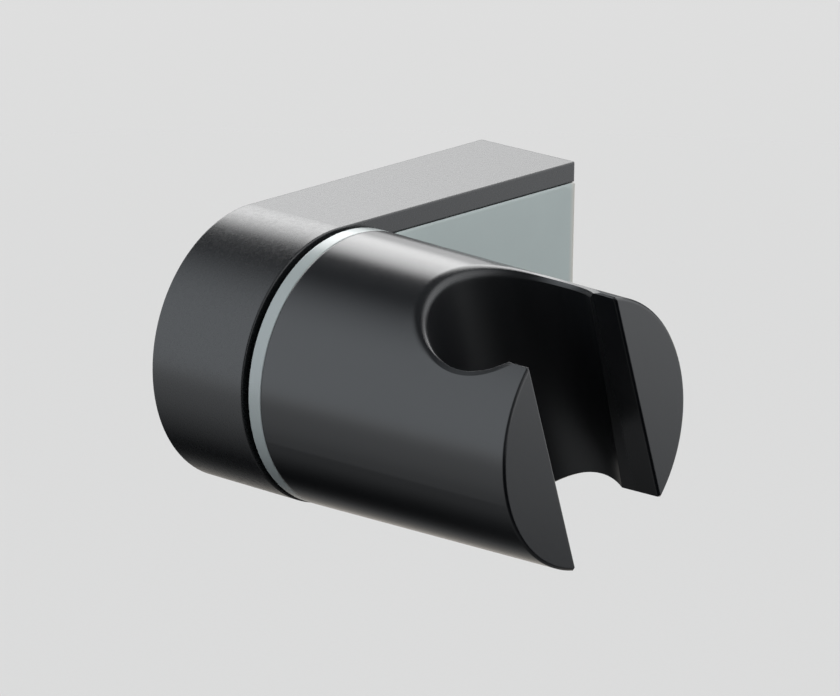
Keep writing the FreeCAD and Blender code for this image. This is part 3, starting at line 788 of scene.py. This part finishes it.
def make_floor(studio):
    """Pale round paper floor that melts into the backdrop at its rim and keeps the holder's shadow."""
    deselect_all()
    bpy.ops.mesh.primitive_circle_add(vertices=128, radius=FLOOR_RADIUS, fill_type="NGON")
    floor = bpy.context.active_object
    floor.name = "floor"
    centre = (CAD_BOX[0] + CAD_BOX[1]) / 2
    centre.z = -studio.floor_drop
    floor.data.transform(Matrix.Translation(centre))
    material, tree, position = new_material("pale_paper_matt")
    fibres = mottled(tree, position, 0.8, 0.97, 1.0)
    paper = add_node(tree, "ShaderNodeMix", {"Factor": fibres, "A": (0, 0, 0, 1), "B": to_linear(PAPER)},
                     data_type="RGBA")
    matt = add_node(tree, "ShaderNodeBsdfDiffuse", {"Color": paper})
    lit = add_node(tree, "ShaderNodeEmission", {"Color": (*studio.background, 1.0), "Strength": 1.0})
    for_camera = add_node(tree, "ShaderNodeMixShader", {0: PAPER_OWN_LIGHT, 1: matt, 2: lit})
    # Painted shade: light bouncing off the floor finds it near black.
    for_diffuse = add_node(tree, "ShaderNodeBsdfDiffuse", {"Color": to_linear(PAPER_BOUNCE)})
    rays = add_node(tree, "ShaderNodeLightPath").outputs
    gloss = add_node(tree, "ShaderNodeMath", {0: rays["Is Glossy Ray"], 1: rays["Is Transmission Ray"]},
                     operation="ADD")
    glow = floor_glow(tree, position)
    for_light = add_node(tree, "ShaderNodeMixShader", {0: gloss, 1: for_diffuse, 2: glow})
    seen = add_node(tree, "ShaderNodeMixShader", {0: rays["Is Camera Ray"], 1: for_light, 2: for_camera})
    reach = add_node(tree, "ShaderNodeVectorMath", {0: position, 1: centre}, operation="DISTANCE")
    rim = add_node(tree, "ShaderNodeMapRange", {
        "Value": reach, "From Min": FLOOR_RIM[0], "From Max": FLOOR_RIM[1]}, interpolation_type="SMOOTHSTEP")
    beyond = add_node(tree, "ShaderNodeBsdfTransparent")
    shader = add_node(tree, "ShaderNodeMixShader", {0: rim, 1: seen, 2: beyond})
    add_node(tree, "ShaderNodeOutputMaterial", {"Surface": shader})
    floor.data.materials.append(material)


def round_light(tree, towards, light, brightness):
    """Soft round area of light, full inside one angle from its direction and gone outside another."""
    direction, outer, inner = light
    near = add_node(tree, "ShaderNodeVectorMath", {0: towards, 1: Vector(direction).normalized()},
                    operation="DOT_PRODUCT")
    return add_node(tree, "ShaderNodeMapRange", {
        "Value": near, "From Min": math.cos(math.radians(outer)), "From Max": math.cos(math.radians(inner)),
        "To Max": brightness}, interpolation_type="SMOOTHSTEP")


def strip_light(tree, towards, light, brightness):
    """Long soft strip of light above and behind, parallel to the swivel axis, that fades out on the right."""
    across = add_node(tree, "ShaderNodeVectorMath", {0: towards, 1: (0.0, 1.0, 1.0)}, operation="MULTIPLY")
    across = add_node(tree, "ShaderNodeVectorMath", {0: across}, operation="NORMALIZE")
    along = add_node(tree, "ShaderNodeSeparateXYZ", {0: towards}).outputs["X"]
    end = add_node(tree, "ShaderNodeMapRange", {
        "Value": along, "From Min": STRIP_END[0], "From Max": STRIP_END[1]}, interpolation_type="SMOOTHSTEP")
    strip = round_light(tree, across, light, brightness)
    return add_node(tree, "ShaderNodeMath", {0: strip, 1: end}, operation="MULTIPLY")


def make_room_light(scene, studio):
    """Room whose light comes from wide soft areas, with the backdrop's colour for the camera."""
    world = bpy.data.worlds.new("studio_room")
    scene.world = world
    world.use_nodes = True
    tree = world.node_tree
    tree.nodes.clear()
    towards = add_node(tree, "ShaderNodeTexCoord").outputs["Generated"]
    lights = (
        (NEUTRAL, strip_light(tree, towards, STRIP_LIGHT, studio.back_light)),
        (NEUTRAL, round_light(tree, towards, LOW_BACK_LIGHT, studio.back_light * LOW_BACK_SHARE)),
        (COOL, round_light(tree, towards, FRONT_LIGHT, studio.front_light)),
        (PALE, round_light(tree, towards, SIDE_LIGHT, studio.side_light)),
    )
    total = studio.ambient * COOL
    for tone, brightness in lights:
        toned = add_node(tree, "ShaderNodeVectorMath", {0: tone, "Scale": brightness}, operation="SCALE")
        total = add_node(tree, "ShaderNodeVectorMath", {0: total, 1: toned}, operation="ADD")
    light = add_node(tree, "ShaderNodeBackground", {"Color": total, "Strength": 1.0})
    backdrop = add_node(tree, "ShaderNodeBackground", {"Color": (*studio.background, 1.0), "Strength": 1.0})
    rays = add_node(tree, "ShaderNodeLightPath").outputs
    seen = add_node(tree, "ShaderNodeMath", {0: rays["Is Camera Ray"], 1: rays["Is Transmission Ray"]},
                    operation="MAXIMUM")
    mix = add_node(tree, "ShaderNodeMixShader", {0: seen, 1: light, 2: backdrop})
    add_node(tree, "ShaderNodeOutputWorld", {"Surface": mix})


def make_camera(scene):
    """Camera at the photo's viewing angle: a long lens from the right, a little above the holder."""
    turn, rise, roll = (math.radians(angle) for angle in (CAMERA_TURN, CAMERA_RISE, CAMERA_ROLL))
    back = Vector((math.sin(turn) * math.cos(rise), -math.cos(turn) * math.cos(rise), math.sin(rise)))
    level = Vector((math.cos(turn), math.sin(turn), 0.0))
    upright = back.cross(level)
    right = math.cos(roll) * level + math.sin(roll) * upright
    up = math.cos(roll) * upright - math.sin(roll) * level
    edge = Vector((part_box("body_cover")[1][X], 0.0, 0.0))
    place = edge - EDGE_FROM_MIDDLE[0] * right - EDGE_FROM_MIDDLE[1] * up + CAMERA_DISTANCE * back
    data = bpy.data.cameras.new("camera")
    data.sensor_width = SENSOR_WIDTH
    data.lens = FOCAL_PIXELS / PICTURE_PIXELS * SENSOR_WIDTH
    data.clip_start = 0.05
    camera = bpy.data.objects.new("camera", data)
    scene.collection.objects.link(camera)
    camera.matrix_world = Matrix((
        (right.x, up.x, back.x, place.x), (right.y, up.y, back.y, place.y), (right.z, up.z, back.z, place.z),
        (0, 0, 0, 1)))
    scene.camera = camera


class HOLDER_PT_panel(bpy.types.Panel):
    """Sizes, colours and steps of the holder"""
    bl_idname = "HOLDER_PT_panel"
    bl_label = "Hand Shower Holder"
    bl_space_type = "VIEW_3D"
    bl_region_type = "UI"
    bl_category = "Holder"

    def draw(self, context):
        for name, group in GROUPS.items():
            for setting in group.__annotations__:
                self.layout.prop(getattr(context.scene, name), setting)
        for step in STEPS:
            self.layout.operator(step.bl_idname)


GROUPS = {"holder_finish": HolderFinish, "holder_hardware": HolderHardware, "holder_studio": HolderStudio}
STEPS = (HOLDER_OT_black_mouldings, HOLDER_OT_grey_mouldings, HOLDER_OT_inner_pieces, HOLDER_OT_pivot_bolt,
         HOLDER_OT_set_screw, HOLDER_OT_panel_screws, HOLDER_OT_thread_inserts, HOLDER_OT_stage)


def register():
    for name, group in GROUPS.items():
        bpy.utils.register_class(group)
        setattr(bpy.types.Scene, name, bpy.props.PointerProperty(type=group))
    for item in STEPS + (HOLDER_PT_panel,):
        bpy.utils.register_class(item)


def unregister():
    for item in (HOLDER_PT_panel,) + STEPS[::-1]:
        bpy.utils.unregister_class(item)
    for name, group in GROUPS.items():
        delattr(bpy.types.Scene, name)
        bpy.utils.unregister_class(group)


def main():
    register()
    for step in STEPS:
        family, action = step.bl_idname.split(".")
        getattr(getattr(bpy.ops, family), action)()


if __name__ == "__main__":
    main()
